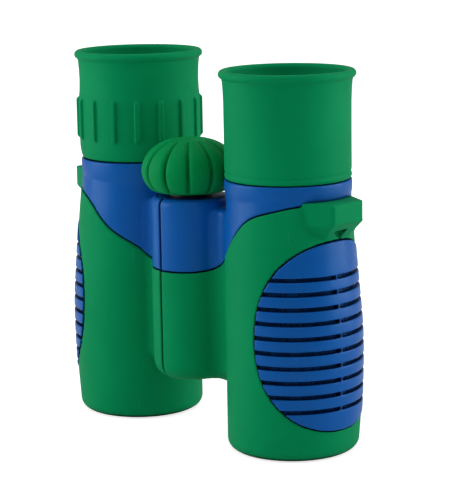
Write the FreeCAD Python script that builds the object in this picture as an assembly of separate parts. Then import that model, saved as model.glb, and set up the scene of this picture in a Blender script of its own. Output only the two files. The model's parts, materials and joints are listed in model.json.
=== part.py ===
# Small centre-hinge binoculars standing on their objective ends, in millimetres.
# z = 0 is the standing face and +Z runs along the barrels to the eyepieces.
# The right barrel lies at +X, the left barrel with its dioptre ring at -X.
# The hinge line lies on the -Y side of the optical axes.
# Pieces are drawn with y = 0 on the optical axes and shifted along Y on export.
# Left pieces are drawn on the +X side and mirrored.
import FreeCAD
import Part
import math
import os
from FreeCAD import Vector

os.makedirs("parts", exist_ok=True)

# ---------------------------------------------------------------- shared dimensions
AXIS_SPACING = 62.23       # between the optical axes, fully open
AXIS_X = AXIS_SPACING / 2.0
HINGE_Y = -8.55
BARREL = (AXIS_X, 0.0)     # plan position of the right optical axis
HINGE = (0.0, HINGE_Y)     # plan position of the hinge axis
ARM_ANGLE = math.degrees(math.atan2(-HINGE_Y, AXIS_X))   # hinge to barrel direction
FOLD = 35.0                # folding range, degrees
UP = Vector(0, 0, 1)
FULL = (0, 90)             # height range of cuts that pass right through
CLEARANCE = 0.05

ARMOUR_T = 1.1             # armour thickness
PAINT_SINK = 0.35          # painted body below the armour face
SEAM = 0.15                # half width of the gap between armour and body
TOP_RIGHT, TOP_LEFT = 76.9, 77.6     # tops of the body collars
BORE = 15.0                # barrel bore radius
BEZEL_R, BEZEL_TOP = BORE + 0.5, 3.2

COVER_RIGHT, COVER_LEFT = 12.2, 11.6  # hinge cover radii of the two halves
HOLLOW_R = 9.6             # hollow inside the covers
CORE_R = 9.5               # hinge knuckles
AXLE_R, AXLE_BORE = 4.0, 2.55
ROD_R = 2.5
WASHER_T = 0.5
LOWER_LUG = (34.0, 38.5)   # hinge lugs of the right half: bottom, top
UPPER_LUG = (64.0, 70.0)
# hinge knuckles of the left half, below and between those lugs
LEFT_SLEEVE = (19.7, LOWER_LUG[0] - CLEARANCE)
LEFT_KNUCKLE = (LOWER_LUG[1] + WASHER_T + CLEARANCE, UPPER_LUG[0] - WASHER_T - CLEARANCE)

WHEEL_R = 13.8
LIP_CENTRE_R, LIP_R = 18.0, 1.2      # rolled lip of the eyecups
# origin at the middle of the footprint, from wheel (-Y) to eyecup rim (+Y)
SHIFT_Y = -((HINGE_Y - WHEEL_R) + (LIP_CENTRE_R + LIP_R)) / 2.0


# ---------------------------------------------------------------- helpers
def cylinder(radius, bottom, top, centre=BARREL):
    return Part.makeCylinder(radius, top - bottom, Vector(*centre, bottom))


def tube(outer, inner, bottom, top, centre=BARREL):
    return cylinder(outer, bottom, top, centre).cut(
        cylinder(inner, bottom - 1, top + 1, centre))


def box(x0, x1, y0, y1, z0, z1):
    return Part.makeBox(x1 - x0, y1 - y0, z1 - z0, Vector(x0, y0, z0))


def closed(points):
    return Part.makePolygon(points + [points[0]])


def prism(points, sweep):
    return Part.Face(closed(points)).extrude(sweep)


def revolve(profile):
    """Turn (radius, height) points about the barrel axis."""
    points = [Vector(AXIS_X + radius, 0, z) for radius, z in profile]
    return Part.Face(closed(points)).revolve(Vector(AXIS_X, 0, 0), UP, 360)


def spline(points):
    curve = Part.BSplineCurve()
    curve.interpolate(points)
    return curve


def polar(angle):
    """Horizontal unit vector, radians counter-clockwise from +X."""
    return Vector(math.cos(angle), math.sin(angle), 0)


def turned(shape, angle, centre):
    shape = shape.copy()
    shape.rotate(Vector(*centre, 0), UP, angle)
    return shape


def raised(shape, height):
    shape = shape.copy()
    shape.translate(Vector(0, 0, height))
    return shape


def mirrored(shape):
    return shape.mirror(Vector(0, 0, 0), Vector(1, 0, 0))


def clean(shape):
    """Merge split faces and unwrap a single solid."""
    shape = shape.removeSplitter()
    return shape.Solids[0] if len(shape.Solids) == 1 else shape


def hinge_sector(start, end, bottom, top, radius):
    """Sector about the hinge axis, degrees counter-clockwise from +X."""
    count = max(3, int((end - start) / 12) + 2)
    centre = Vector(*HINGE, bottom)
    points = [centre]
    for i in range(count):
        points.append(centre + polar(math.radians(start + (end - start) * i / (count - 1))) * radius)
    return prism(points, Vector(0, 0, top - bottom))


def radial_bar(start, end, half_width, bottom, top):
    """Bar on the line from the hinge axis to the barrel axis."""
    bar = box(start, end, HINGE_Y - half_width, HINGE_Y + half_width, bottom, top)
    return turned(bar, ARM_ANGLE, HINGE)


pieces = {}


def add_right(name, shape):
    pieces[name + "_right"] = shape


def add_left(name, shape):
    pieces[name + "_left"] = mirrored(shape)


def add_pair(name, shape):
    add_right(name, shape)
    add_left(name, shape)


# ---------------------------------------------------------------- barrel envelope
# height, reach on the outward side; the section circles are sized from the reach
STATIONS = [
    (-4, 19.45), (0, 19.75), (4, 20.0), (8, 20.3), (13, 20.6), (20, 20.85),
    (28, 20.98), (36, 20.8), (43, 20.25), (50, 19.65), (57, 19.05),
    (64, 18.5), (70, 18.1), (76, 17.95), (84, 17.9)]
INWARD_REACH = 17.6
BULGE_RATIO = 0.72         # half the reach difference over the outward centre offset
BULGE_Y = -0.55            # the bulge leans toward the hinge side
LEAN_FADE_Z, LEAN_FADE = 60, 14.0    # the lean fades to nothing from here, over this height
LOFT_SEAM_ANGLE = 195.0    # loft seam on the side facing the hinge


def section_circle(reach):
    """Centre x and radius of the barrel section."""
    return AXIS_X + (reach - INWARD_REACH) / 2.0 / BULGE_RATIO, (reach + INWARD_REACH) / 2.0


def envelope(offset, bottom, top):
    """Bulged barrel body lofted through circles, clipped to a height range."""
    wires = []
    for z, reach in STATIONS:
        lean = 1.0 if z < LEAN_FADE_Z else max(0.0, 1 - (z - LEAN_FADE_Z) / LEAN_FADE)
        centre_x, radius = section_circle(reach)
        centre = Vector(centre_x, BULGE_Y * lean, z)
        circle = Part.Circle(centre, UP, radius + offset).toShape()
        circle.rotate(centre, UP, LOFT_SEAM_ANGLE)
        wires.append(Part.Wire([circle]))
    loft = Part.makeLoft(wires, True, False)
    return loft.common(box(AXIS_X - 40, AXIS_X + 40, -40, 40, bottom, top))


# ---------------------------------------------------------------- web between hinge and barrel
WEB_BOTTOM, WEB_KNUCKLE_TOP = 17.0, 70.0
WEB_TOP = 67.3             # the web drops below the knuckle face
WEB_STEP_X = 11.4          # start of that drop, from the hinge axis
WEB_FILLET = 4.0
WEB_BURY = 0.3             # the fillets run this far into the barrel wall
WEB_SECTION_Z = 45.0       # height whose barrel section the web is fitted to


def reach_at(height):
    for (z0, reach0), (z1, reach1) in zip(STATIONS, STATIONS[1:]):
        if height <= z1:
            return reach0 + (reach1 - reach0) * (height - z0) / (z1 - z0)


def web_face(cover_r, inset):
    """Hinge cover joined to the barrel by two concave fillets (plan view)."""
    barrel_x, barrel_r = section_circle(reach_at(WEB_SECTION_Z))
    hinge = Vector(*HINGE, 0)
    barrel = Vector(barrel_x, BULGE_Y, 0)
    cover_r = cover_r - inset
    barrel_r = barrel_r - inset - WEB_BURY
    fillet_r = WEB_FILLET + inset
    span = barrel - hinge
    heading = math.atan2(span.y, span.x)
    # triangle of hinge, barrel and fillet centres
    to_hinge = cover_r + fillet_r
    to_barrel = barrel_r + fillet_r
    distance = math.hypot(span.x, span.y)
    swing = math.acos((to_hinge ** 2 + distance ** 2 - to_barrel ** 2)
                      / (2 * to_hinge * distance))
    arcs = []
    for side in (-1, 1):
        centre = hinge + polar(heading + side * swing) * to_hinge
        on_cover = hinge + (centre - hinge) * (cover_r / to_hinge)
        on_barrel = barrel + (centre - barrel) * (barrel_r / to_barrel)
        middle = centre + ((on_cover + on_barrel) * 0.5 - centre).normalize() * fillet_r
        arcs.append((on_cover, middle, on_barrel))
    (cover1, middle1, barrel1), (cover2, middle2, barrel2) = arcs
    far_side = hinge + polar(heading + math.pi) * cover_r
    return Part.Face(Part.Wire([
        Part.Arc(cover1, middle1, barrel1).toShape(), Part.makeLine(barrel1, barrel2),
        Part.Arc(barrel2, middle2, cover2).toShape(),
        Part.Arc(cover2, far_side, cover1).toShape()]))


def web(cover_r, inset, bottom, top, rounding):
    """Web and hinge cover, rounded along the curved edges of both ends."""
    solid = raised(web_face(cover_r, inset), bottom).extrude(Vector(0, 0, top - bottom))
    edges = []
    for edge in solid.Edges:
        low, high = edge.BoundBox.ZMin, edge.BoundBox.ZMax
        flat = abs(high - low) < 1e-6 and len(edge.Vertexes) == 2
        if flat and edge.Curve.TypeId != 'Part::GeomLine':
            if abs(low - top) < 1e-6 or abs(low - bottom) < 1e-6:
                edges.append(edge)
    return solid.makeFillet(rounding, edges)


# ---------------------------------------------------------------- strap lug
# Two ramps leave the barrel and meet a flat outer face; the underside slopes back into
# the barrel. The cord hole runs from a three-cornered mouth in that slope to the +Y ramp.
LUG_X, LUG_Y0, LUG_Y1 = 54.5, -6.4, 5.4     # outer face
LUG_TOP, LUG_BOTTOM, LUG_FOOT = 72.4, 66.3, 61.2
RAMP_X, RAMP_Y0, RAMP_Y1 = 46.9, -9.7, 9.2  # where the ramps leave the barrel
LUG_ROOT_R = 18.0          # radius the outer corners are drawn back toward
LUG_BACK_R = 17.35         # inner face, inside the barrel wall


def lug_plan(z, fullness):
    """Lug outline at height z; fullness 1 is full size, 0 is drawn back to the root."""
    def drawn(y):
        radius = math.hypot(LUG_X - AXIS_X, y)
        scale = (LUG_ROOT_R + (radius - LUG_ROOT_R) * fullness) / radius
        return Vector(AXIS_X + (LUG_X - AXIS_X) * scale, y * scale, z)
    points = [Vector(RAMP_X - 0.15, RAMP_Y0 + 0.05, z), drawn(LUG_Y0), drawn(LUG_Y1),
              Vector(RAMP_X - 0.1, RAMP_Y1 - 0.1, z)]
    for angle in (28.0, 14.0, 0.0, -14.0, -28.0):
        points.append(Vector(AXIS_X, 0, z) + polar(math.radians(angle)) * LUG_BACK_R)
    return points


def strap_lug():
    lug = prism(lug_plan(LUG_BOTTOM, 1.0), Vector(0, 0, LUG_TOP - LUG_BOTTOM))
    lug = lug.makeFillet(0.8, [e for e in lug.Edges if e.BoundBox.XMin > LUG_X - 0.01])
    slope = [closed(lug_plan(LUG_FOOT, 0.0)), closed(lug_plan(LUG_BOTTOM + 0.6, 1.0))]
    return lug.fuse(Part.makeLoft(slope, True, True))


def cord_hole():
    passage = prism([Vector(49.9, -2.4, 65.6), Vector(52.6, -2.4, 65.6),
                     Vector(50.1, -2.4, 63.2)], Vector(0, 14, 0))
    mouth = prism([Vector(49.2, -3.6, 63.9), Vector(49.2, 0.95, 64.15),
                   Vector(49.2, 1.2, 61.6)], Vector(6, 0, 0))
    return passage.fuse(mouth)


# ---------------------------------------------------------------- armour and body shells
# upper edge of the armour: x, height
ARMOUR_EDGE = [
    (-60, 49.3), (0, 49.3), (10, 49.3), (14.5, 49.35), (16.6, 50.0), (18.2, 51.6),
    (20.5, 53.8), (23.5, 56.6), (26.5, 59.7), (29.5, 62.9), (32.5, 65.7),
    (36, 67.9), (40, 69.4), (45, 70.5), (52, 71.1), (60, 71.3)]
FOOT_ROUNDING = 2.8        # armour at the objective end
OBJECTIVE_OPENING_R = 13.8
COLLAR_BOTTOM = 73.2


def below_edge(shift):
    """Everything under the flowing armour edge, shifted in height."""
    points = [Vector(x, -60, z + shift) for x, z in ARMOUR_EDGE]
    start, end = points[0], points[-1]
    low_start, low_end = Vector(start.x, -60, -20), Vector(end.x, -60, -20)
    outline = Part.Wire([spline(points).toShape(), Part.makeLine(end, low_end),
                         Part.makeLine(low_end, low_start), Part.makeLine(low_start, start)])
    return Part.Face(outline).extrude(Vector(0, 120, 0))


def collar(top):
    """Plain ring at the top of a barrel."""
    return revolve([(0, COLLAR_BOTTOM), (17.6, COLLAR_BOTTOM), (17.78, 74.0), (17.88, 75.0),
                    (17.92, 76.0), (17.92, top - 0.3), (17.7, top), (0, top)])


outer = envelope(0.0, 0.0, 80.0)
outer = outer.makeFillet(FOOT_ROUNDING, [e for e in outer.Edges if abs(e.BoundBox.ZMax) < 1e-6])
inner = envelope(-ARMOUR_T, 1.0, 80.0)
painted = envelope(-PAINT_SINK, 40.0, 80.0)
above_collar = box(AXIS_X - 40, AXIS_X + 40, -40, 40, COLLAR_BOTTOM, 90)
below_armour = below_edge(-SEAM)
below_body = below_edge(SEAM)
armour_slab = box(-60, 60, -60, 60, 0, 60)
lug_solid, lug_hole = strap_lug(), cord_hole()
# armour behind the strap lug, and the room it takes out of the body
lug_band = box(AXIS_X + 5, AXIS_X + 30, RAMP_Y0 - 0.05, RAMP_Y1, 60, LUG_TOP)
lug_room = box(AXIS_X + 5, AXIS_X + 32, RAMP_Y0 - 0.05 - SEAM, RAMP_Y1 + SEAM,
               58, LUG_TOP + SEAM)


def make_shells(cover_r, top):
    """Armour skin and body shell of one half, before the hinge cuts."""
    lift = top - TOP_RIGHT
    web_inset, low_web_bottom = 0.12, WEB_BOTTOM + ARMOUR_T

    skin = outer.fuse(
        web(cover_r, 0.0, WEB_BOTTOM, WEB_KNUCKLE_TOP + 5, 2.0).common(armour_slab))
    filling = inner.fuse(web(cover_r, ARMOUR_T, low_web_bottom, 68.0, 1.2))
    armour = skin.common(below_armour.fuse(raised(lug_band, lift)))
    armour = armour.fuse(raised(lug_solid, lift)).cut(filling)
    armour = armour.cut(cylinder(OBJECTIVE_OPENING_R, -5, 3)).cut(raised(lug_hole, lift))

    upper_web = web(cover_r, web_inset, 30.0, WEB_KNUCKLE_TOP, 1.8)
    step = radial_bar(WEB_STEP_X, 40, 20, WEB_TOP, 90).cut(
        cylinder(cover_r - web_inset, 60, 95, HINGE))
    upper = painted.cut(above_collar).fuse(upper_web.cut(step))
    upper = upper.cut(below_body).cut(raised(lug_room, lift))
    lower = inner.cut(above_collar).fuse(
        web(cover_r, ARMOUR_T, low_web_bottom, WEB_TOP - 2.0, 1.2))
    return clean(armour), clean(lower.fuse(upper).fuse(collar(top)))


# ---------------------------------------------------------------- side grips
GRIP_Z, GRIP_HALF_HEIGHT, GRIP_HALF_ANGLE = 34.9, 26.4, 79.0
GRIP_POWER = 2.25          # superellipse exponent of the outline
GRIP_WALL_R = 19.3         # radius used to turn the gap into an angle
GRIP_GAP = 0.22            # gap between grip and armour
GROOVES = [51.6, 47.6, 43.5, 39.5, 35.4, 31.3, 27.2, 23.1, 19.0, 14.8]   # heights
GROOVE_WIDTH = 1.15
GROOVE_FLOOR = -0.55       # envelope offset of the groove floor


def grip_cutter(grow):
    """Radial-walled cutter with the rounded outline of the side grip."""
    count = 48
    half_height = GRIP_HALF_HEIGHT + grow
    half_angle = math.radians(GRIP_HALF_ANGLE) + grow / GRIP_WALL_R
    outline = []
    for i in range(count):
        turn = 2 * math.pi * i / count
        across, along = [math.copysign(abs(part) ** (2 / GRIP_POWER), part)
                         for part in (math.cos(turn), math.sin(turn))]
        outline.append((half_angle * across, GRIP_Z + half_height * along))
    wires = []
    for x in (1.2, 26.0):
        wires.append(closed([Vector(AXIS_X + 1.9 + x, -0.5 + x * math.tan(angle), z)
                             for angle, z in outline]))
    return Part.makeLoft(wires, True, True)


def grip_panel():
    panel = envelope(0.3, 3.0, 66.0).cut(inner).common(grip_cutter(0.0))
    groove_core = envelope(GROOVE_FLOOR, 3.0, 66.0)
    for z in GROOVES:
        slab = box(AXIS_X, AXIS_X + 30, -30, 30, z - GROOVE_WIDTH / 2, z + GROOVE_WIDTH / 2)
        panel = panel.cut(slab.cut(groove_core))
    return clean(panel)


# ---------------------------------------------------------------- housings and armour
COVER_END = 270.85         # open side of both covers ends here, degrees
COVER_CUT_R = 15.5
SLOT_HALF_WIDTH, ARM_LENGTH = 2.6, 26
RIGHT_SLOT = (23.6, 30.8)  # heights of the slots for the focusing arms
LEFT_SLOT = (20.5, 27.7)
WINDOW_SPARE = 24          # extra angle at each end of the folding window


def cover_opening(start, knuckles):
    """Cutter for the open side of a hinge cover, sparing the knuckles."""
    cutter = hinge_sector(start, COVER_END, *FULL, COVER_CUT_R)
    for bottom, top in knuckles:
        cutter = cutter.cut(cylinder(CORE_R, bottom, top, HINGE))
    return cutter


def bored(body):
    return body.cut(cylinder(BORE, -5, 90)).cut(cylinder(BEZEL_R, -5, BEZEL_TOP))


def right_half(gripped_cut):
    armour, body = make_shells(COVER_RIGHT, TOP_RIGHT)
    opening = cover_opening(72.0, (LOWER_LUG, UPPER_LUG))
    body = body.cut(cylinder(HOLLOW_R, 0, LOWER_LUG[0], HINGE))
    body = body.cut(cylinder(HOLLOW_R, LOWER_LUG[1], UPPER_LUG[0], HINGE))
    body = body.fuse(cylinder(CORE_R, *LOWER_LUG, HINGE))
    body = body.fuse(cylinder(CORE_R, *UPPER_LUG, HINGE))
    body = bored(body).cut(opening).cut(cylinder(AXLE_R, *FULL, HINGE))
    body = body.cut(radial_bar(0, ARM_LENGTH, SLOT_HALF_WIDTH, *RIGHT_SLOT))
    armour = clean(armour.cut(gripped_cut))
    armour = armour.cut(opening).cut(cylinder(HOLLOW_R, 0, 60, HINGE))
    add_right("housing", clean(body))
    add_right("armour", clean(armour))


def left_half(gripped_cut):
    armour, body = make_shells(COVER_LEFT, TOP_LEFT)
    opening = cover_opening(70.0, (LEFT_SLEEVE, LEFT_KNUCKLE))
    body = body.cut(cylinder(HOLLOW_R, *FULL, HINGE))
    body = body.fuse(cylinder(CORE_R, *LEFT_KNUCKLE, HINGE))
    body = body.fuse(tube(CORE_R, 8.2, *LEFT_SLEEVE, HINGE))
    # tie between the knuckles and the cover
    tie = hinge_sector(-85.0, 68.0, LEFT_SLEEVE[0], LEFT_KNUCKLE[1], 10.4)
    tie = tie.cut(cylinder(9.0, *FULL, HINGE))
    tie = tie.cut(cylinder(HOLLOW_R, LEFT_SLEEVE[1], LEFT_KNUCKLE[0], HINGE))
    body = bored(body.fuse(tie)).cut(opening)
    body = body.cut(cylinder(AXLE_R + CLEARANCE, *FULL, HINGE))
    body = body.cut(radial_bar(0, ARM_LENGTH, SLOT_HALF_WIDTH, *LEFT_SLOT))
    # window that the right focusing arm sweeps while folding
    facing = 180 - ARM_ANGLE
    window = hinge_sector(facing - FOLD - WINDOW_SPARE, facing + WINDOW_SPARE,
                          23.3, 31.1, CORE_R + 2.0).cut(cylinder(7.9, 20, 40, HINGE))
    armour = armour.cut(gripped_cut)
    armour = armour.cut(opening).cut(cylinder(HOLLOW_R, 0, 60, HINGE))
    add_left("housing", clean(body.cut(window)))
    add_left("armour", clean(armour))


grip_recess = grip_cutter(GRIP_GAP)
add_pair("grip_panel", grip_panel())
right_half(grip_recess)
left_half(grip_recess)

# ---------------------------------------------------------------- hinge hardware
NUT_BOTTOM, NUT_R = 32.2, 6.9        # hexagon corner radius
AXLE_HEAD_R, AXLE_HEAD_T = 6.2, 0.9
CAP_BOTTOM, CAP_TOP = 17.3, 19.5


def end_cap():
    """Bottom cap with a coin slot below and a blind rod hole above."""
    cap = cylinder(CORE_R, CAP_BOTTOM, CAP_TOP, HINGE)
    cap = cap.fuse(hinge_sector(-80, 62, CAP_BOTTOM, CAP_TOP, 15).common(
        cylinder(HOLLOW_R, CAP_BOTTOM, CAP_TOP, HINGE)))
    cap = cap.cut(cylinder(AXLE_BORE, 18.4, 20, HINGE))
    return cap.cut(box(-4.0, 4.0, HINGE_Y - 0.5, HINGE_Y + 0.5, 17.0, 17.8))


pieces["hinge_axle"] = tube(AXLE_R, AXLE_BORE, NUT_BOTTOM, UPPER_LUG[1], HINGE).fuse(
    tube(AXLE_HEAD_R, AXLE_BORE, UPPER_LUG[1], UPPER_LUG[1] + AXLE_HEAD_T, HINGE))
hexagon = [Vector(*HINGE, NUT_BOTTOM) + polar(math.radians(angle)) * NUT_R
           for angle in range(0, 360, 60)]
pieces["axle_nut"] = prism(hexagon, Vector(0, 0, LOWER_LUG[0] - NUT_BOTTOM)).cut(
    cylinder(AXLE_R, 30, 40, HINGE))
pieces["hinge_washers"] = Part.makeCompound([
    tube(9.0, AXLE_R, LOWER_LUG[1], LOWER_LUG[1] + WASHER_T, HINGE),
    tube(9.0, AXLE_R, UPPER_LUG[0] - WASHER_T, UPPER_LUG[0], HINGE)])
pieces["hinge_end_cap"] = end_cap()

# ---------------------------------------------------------------- focus wheel and rod
WHEEL_BOTTOM, WHEEL_TOP = 71.3, 85.9
WHEEL_HALF_HEIGHT, WHEEL_MIDDLE = 9.5, 77.4   # ellipse of the wheel profile
WHEEL_TOP_R = 5.2          # where the ellipse ends
WHEEL_GROOVES, WHEEL_GROOVE_R = 12, 0.42


def wheel_cover():
    """Domed cover with grooves running up its side."""
    start = math.asin((WHEEL_BOTTOM - WHEEL_MIDDLE) / WHEEL_HALF_HEIGHT)
    end = math.acos(WHEEL_TOP_R / WHEEL_R)
    count = 12
    dome = []
    for k in range(count + 1):
        angle = start + (end - start) * k / count
        dome.append(Vector(WHEEL_R * math.cos(angle), HINGE_Y,
                           WHEEL_MIDDLE + WHEEL_HALF_HEIGHT * math.sin(angle)))
    rest = [dome[-1], Vector(4.2, HINGE_Y, WHEEL_TOP), Vector(0, HINGE_Y, WHEEL_TOP),
            Vector(0, HINGE_Y, WHEEL_BOTTOM), dome[0]]
    lines = [Part.makeLine(a, b) for a, b in zip(rest, rest[1:])]
    cover = Part.Face(Part.Wire([spline(dome).toShape()] + lines)).revolve(
        Vector(*HINGE, 0), UP, 360)
    path_points = [Vector(p.x + 0.02, HINGE_Y, p.z) for p in dome]
    path = spline(path_points)
    heading = path.tangent(path.FirstParameter)[0]
    circle = Part.Wire([Part.Circle(path_points[0], heading, WHEEL_GROOVE_R).toShape()])
    groove = Part.Wire([path.toShape()]).makePipeShell([circle], True, True)
    for k in range(WHEEL_GROOVES):
        cover = cover.cut(turned(groove, (k + 0.5) * 360.0 / WHEEL_GROOVES, HINGE))
    return cover


wheel_core = cylinder(5.4, WHEEL_BOTTOM - 0.25, WHEEL_BOTTOM + 0.5, HINGE).fuse(
    cylinder(8.6, WHEEL_BOTTOM + 0.3, 82.5, HINGE))
focus_rod = cylinder(ROD_R, 18.6, 80.0, HINGE)
wheel_pin = Part.makeCylinder(0.8, 13.0, Vector(-6.5, HINGE_Y, 75.5), Vector(1, 0, 0))
pieces["focus_wheel_cover"] = wheel_cover().cut(wheel_core)
pieces["focus_wheel_core"] = wheel_core.cut(focus_rod).cut(wheel_pin)
pieces["focus_rod"] = focus_rod.cut(wheel_pin)
pieces["wheel_pin"] = wheel_pin
pieces["rod_clip"] = tube(4.2, ROD_R, 31.5, 32.1, HINGE)

# ---------------------------------------------------------------- focusing and objectives
CARRIAGE_ARM = (24.6, 27.5)          # heights of the right and left focusing arms
YOKE_ARM = (21.5, 24.5)
SLEEVE_R, FLANGE_R = 4.6, 7.6        # carriage sleeve, and flanges at the arms
CELL_R, CELL_BORE = 14.95, 13.3


def lens(radius, middle, edge, sagitta):
    """Biconvex glass: edge thickness and the height of each dome."""
    half = edge / 2 + sagitta
    sphere_r = (radius * radius + sagitta * sagitta) / (2 * sagitta)
    glass = cylinder(radius, middle - half, middle + half)
    for z in (middle + half - sphere_r, middle - half + sphere_r):
        glass = glass.common(Part.makeSphere(sphere_r, Vector(AXIS_X, 0, z)))
    return glass


def focus_arm(bottom, top):
    return radial_bar(0, ARM_LENGTH, 2.3, bottom, top).cut(cylinder(13.9, *FULL))


carriage = cylinder(SLEEVE_R, 20.7, CARRIAGE_ARM[1], HINGE)
carriage = carriage.fuse(cylinder(FLANGE_R, *CARRIAGE_ARM, HINGE))
carriage = carriage.fuse(focus_arm(*CARRIAGE_ARM)).cut(
    cylinder(ROD_R + CLEARANCE, 10, 40, HINGE))
yoke = cylinder(FLANGE_R, *YOKE_ARM, HINGE).fuse(focus_arm(*YOKE_ARM)).cut(
    cylinder(SLEEVE_R + CLEARANCE, 10, 40, HINGE))
cell = tube(CELL_R, CELL_BORE, 5.0, 31.0).fuse(tube(13.5, 12.3, 10.6, 12.0))
pieces["focus_carriage"] = carriage
pieces["carriage_snap_ring"] = tube(6.6, SLEEVE_R, 20.8, 21.4, HINGE)
add_left("focus_yoke", yoke)
add_right("objective_cell", cell.cut(carriage))
add_left("objective_cell", cell.cut(yoke))
objective = lens(CELL_BORE, 8.3, 2.0, 1.3)
add_pair("objective_lens", objective)
add_pair("objective_ring", tube(CELL_BORE, 12.5, 5.1, 7.0).cut(objective))
add_pair("objective_bezel", revolve([(13.4, BEZEL_TOP), (BEZEL_R, BEZEL_TOP), (BEZEL_R, 1.3),
                                     (14.9, 1.02), (13.6, 2.0)]))

# ---------------------------------------------------------------- prisms
POCKET = 8.6               # half width of the holder's square pocket
PRISM_HALF_Y = 8.4
PRISM_BOTTOM, PRISM_TOP = 48.0, 67.6
# x from the barrel axis, height
PENTA_SECTION = [(-8.5, PRISM_BOTTOM), (8.5, PRISM_BOTTOM), (8.5, 51.6), (-4.0, 57.6),
                 (-8.5, 54.5)]
ROOF_SECTION = [(8.5, 52.1), (8.5, PRISM_TOP), (-8.5, PRISM_TOP), (-8.5, 60.3)]


def glass_prism(section):
    return prism([Vector(AXIS_X + x, -PRISM_HALF_Y, z) for x, z in section],
                 Vector(0, 2 * PRISM_HALF_Y, 0))


def roof_prism():
    """Roof prism with its two outward upright edges bevelled."""
    roof = glass_prism(ROOF_SECTION)
    for side in (-1, 1):
        corner = [Vector(AXIS_X + x, side * y, 50.0)
                  for x, y in ((8.6, 8.5), (8.6, 4.5), (4.6, 8.5))]
        roof = roof.cut(prism(corner, Vector(0, 0, 20)))
    return roof


holder = cylinder(BORE, 46.0, 69.4).cut(
    box(AXIS_X - POCKET, AXIS_X + POCKET, -POCKET, POCKET, PRISM_BOTTOM, PRISM_TOP))
add_pair("prism_holder", holder.cut(cylinder(8.0, 40, 75)))
add_pair("penta_prism", glass_prism(PENTA_SECTION))
add_pair("roof_prism", roof_prism())

# ---------------------------------------------------------------- eyepieces
EYEPIECE_BOTTOM = 70.0
CUP_BORE = 16.3            # eyecup bore, over the tube or dioptre ring
RIGHT_BORE, RIGHT_TUBE_TOP = 11.6, 100.5
LEFT_BORE, LEFT_RING_TOP = 11.3, 102.6
SEAT_R, SEAT_BORE, SEAT_TOP = 14.15, 12.6, 90.0
CELL_BOTTOM, CELL_SHOULDER, CELL_TOP = 78.0, 92.0, 97.0     # left lens cell
KEY_Z = 82.0


def eyecup(base, rim, seat):
    """Rubber eyecup with a rolled lip; base is its lower outer profile, seat its ledge height."""
    profile = base + [(17.8, rim - 7.0), (17.95, rim - 3.5), (18.1, rim - 1.4)]
    for k in range(11):
        angle = math.radians(-75 + 25.5 * k)
        profile.append((LIP_CENTRE_R + LIP_R * math.cos(angle), rim + LIP_R * math.sin(angle)))
    profile += [(16.75, rim - 0.9), (16.55, rim - 3.2), (16.45, seat + 1.9), (15.9, seat + 1.3),
                (13.2, seat + 1.2), (12.6, seat + 0.6), (13.2, seat), (CUP_BORE, seat),
                (CUP_BORE, base[0][1])]
    return revolve(profile)


def add_optics(add, bore, spacer_bore, field_z, eye_z, ring_bottom):
    """Field lens, eye lens, the spacer between them and the ring above."""
    field, eye = lens(bore, field_z, 1.6, 1.4), lens(bore, eye_z, 1.6, 1.6)
    add("field_lens", field)
    add("eye_lens", eye)
    spacer = tube(bore, spacer_bore, field_z + 1.0, eye_z - 1.0)
    add("lens_spacer", spacer.cut(field).cut(eye))
    add("lens_ring", tube(bore, spacer_bore - 0.4, ring_bottom, ring_bottom + 2.6).cut(eye))


def ribbed_eyecup():
    """Left eyecup with 16 upright ribs."""
    bottom = TOP_LEFT + 0.25
    cup = eyecup([(17.35, bottom), (17.6, 78.3), (17.95, 79.6), (18.15, 81.2),
                  (18.15, 95.0), (17.95, 97.0), (17.87, 98.5)], 108.55, LEFT_RING_TOP)
    for k in range(16):
        rib = box(AXIS_X + 17.0, AXIS_X + 18.9, -0.85, 0.85, 83.5, 95.8)
        rib = rib.makeFillet(0.6, [e for e in rib.Edges if e.BoundBox.XMin > AXIS_X + 18.5])
        cup = cup.fuse(turned(rib, 22.5 * k + 1.3, BARREL))
    return cup


# right, fixed
add_right("eyepiece_tube", tube(BORE, RIGHT_BORE, EYEPIECE_BOTTOM, TOP_RIGHT).fuse(
    tube(CUP_BORE, RIGHT_BORE, TOP_RIGHT, RIGHT_TUBE_TOP)).fuse(
    tube(12.0, 10.6, EYEPIECE_BOTTOM, 72.0)))
add_optics(add_right, RIGHT_BORE, 10.6, 75.2, 92.2, 93.0)
add_right("eyecup", eyecup([(17.35, TOP_RIGHT + 0.12), (17.7, 77.4), (17.83, 78.1),
                            (17.76, 78.9), (17.77, 90.0)], 106.07, RIGHT_TUBE_TOP))

# left, with dioptre ring
seat = tube(BORE, SEAT_BORE, EYEPIECE_BOTTOM, TOP_LEFT).fuse(
    tube(SEAT_R, SEAT_BORE, TOP_LEFT, SEAT_TOP))
key = Part.makeCylinder(0.6, 2.35, Vector(AXIS_X + 11.8, 0, KEY_Z), Vector(1, 0, 0))
add_left("eyepiece_seat", seat.cut(key))
add_left("dioptre_key", key)
add_left("dioptre_retainer", tube(15.3, SEAT_R, 88.4, SEAT_TOP))
pieces["dioptre_ring_core"] = mirrored(revolve([
    (14.2, TOP_LEFT + 0.1), (CUP_BORE, TOP_LEFT + 0.1), (CUP_BORE, LEFT_RING_TOP),
    (15.4, LEFT_RING_TOP), (15.4, 88.3), (14.2, 88.3)]))
lens_cell = tube(12.55, LEFT_BORE, CELL_BOTTOM, CELL_SHOULDER).fuse(
    tube(15.35, LEFT_BORE, CELL_SHOULDER, CELL_TOP)).fuse(
    tube(11.8, 10.4, CELL_BOTTOM, 79.2))
key_slot = box(AXIS_X + 11.65, AXIS_X + 13.0, -0.65, 0.65, CELL_BOTTOM - 1.0, KEY_Z + 2.0)
add_left("lens_cell", lens_cell.cut(key_slot))
add_optics(add_left, LEFT_BORE, 10.4, 82.0, 93.4, 94.4)
add_left("eyecup", ribbed_eyecup())

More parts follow.
